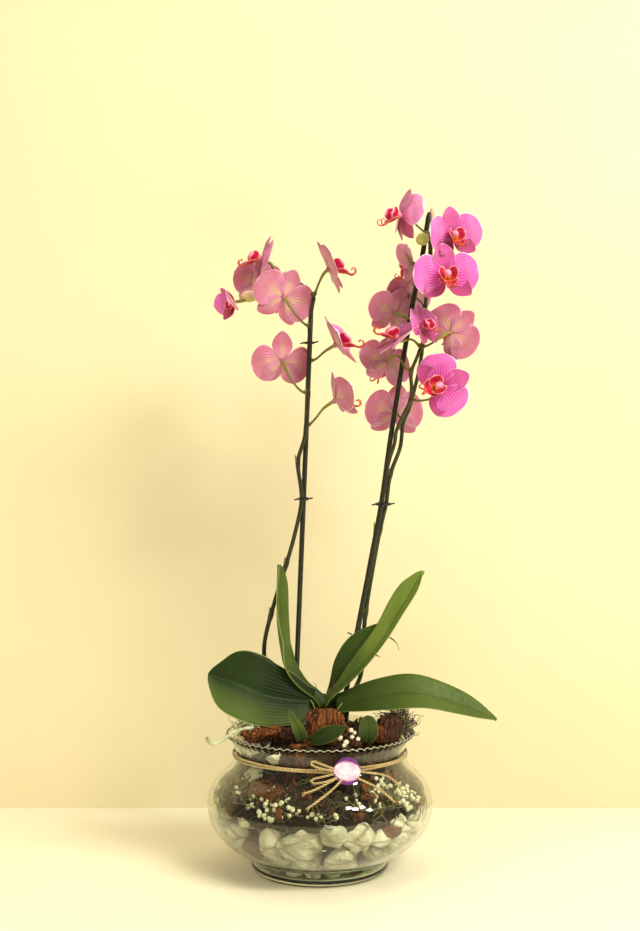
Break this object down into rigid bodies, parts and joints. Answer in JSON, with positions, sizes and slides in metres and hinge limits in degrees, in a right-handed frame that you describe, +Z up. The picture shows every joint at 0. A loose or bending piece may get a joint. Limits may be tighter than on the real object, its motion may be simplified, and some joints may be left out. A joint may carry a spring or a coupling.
{
  "type": "potted orchid",
  "caption": "Moth orchid with arching flower spikes on stakes, planted in a squat footed glass bowl with pale stones, bark mix, dried blossom and a twine bow.",
  "frame": {"origin": "centre of the bowl's flat underside, on the surface it stands on", "axes": "+Z up, +X to the right seen from the front, +Y towards the back; the label and bow face -Y"},
  "size_m": [0.2887, 0.2222, 0.68],
  "materials": {
    "glass": "clear blown glass",
    "mix": "damp bark and soil",
    "gravel": "river gravel",
    "pale_stone": "rolled pale stone",
    "grey_stone": "rolled grey-green stone",
    "bark": "rough pine bark",
    "moss": "dry curled moss",
    "root": "matt silvery root",
    "leaf": "waxy green leaf",
    "spike": "smooth green-brown stem",
    "stake": "dark coated stake",
    "clip": "moulded clip",
    "petal": "soft veined petal",
    "twine": "twisted jute",
    "label": "printed card, no lettering",
    "blossom": "dried blossom"
  },
  "bodies": {
    "root": {"aerial_root": "root", "bark_front": "bark", "bark_left": "bark", "bark_right": "bark", "clip_left_low": "clip", "clip_left_top": "clip", "clip_right": "clip", "flower_left_1": "petal", "flower_left_2": "petal", "flower_left_3": "petal", "flower_left_4": "petal", "flower_left_5": "petal", "flower_left_6": "petal", "flower_left_7": "petal", "flower_left_8": "petal", "flower_right_1": "petal", "flower_right_10": "petal", "flower_right_11": "petal", "flower_right_12": "petal", "flower_right_2": "petal", "flower_right_3": "petal", "flower_right_4": "petal", "flower_right_5": "petal", "flower_right_6": "petal", "flower_right_7": "petal", "flower_right_8": "petal", "flower_right_9": "petal", "glass_bowl": "glass", "label": "label", "leaf_arching_right": "leaf", "leaf_behind_right": "leaf", "leaf_broad_left": "leaf", "leaf_small_front": "leaf", "leaf_small_left": "leaf", "leaf_small_right": "leaf", "leaf_upright_left": "leaf", "leaf_upright_right": "leaf", "moss_left": "moss", "moss_right": "moss", "plant_crown": "leaf", "planting_mix": "mix", "spike_left": "spike", "spike_right_brown": "spike", "spike_right_green": "spike", "sprig_left": "blossom", "sprig_right": "blossom", "stake_left": "stake", "stake_right": "stake", "stone_bed": "gravel", "stone_cream": "pale_stone", "stone_green": "grey_stone", "stone_neck": "pale_stone", "stone_quartz": "pale_stone", "stone_round": "grey_stone", "twine_band": "twine", "twine_bow": "twine", "twine_tail_1": "twine", "twine_tail_2": "twine", "twine_tail_3": "twine", "twine_tail_4": "twine"}
  },
  "joints": []
}
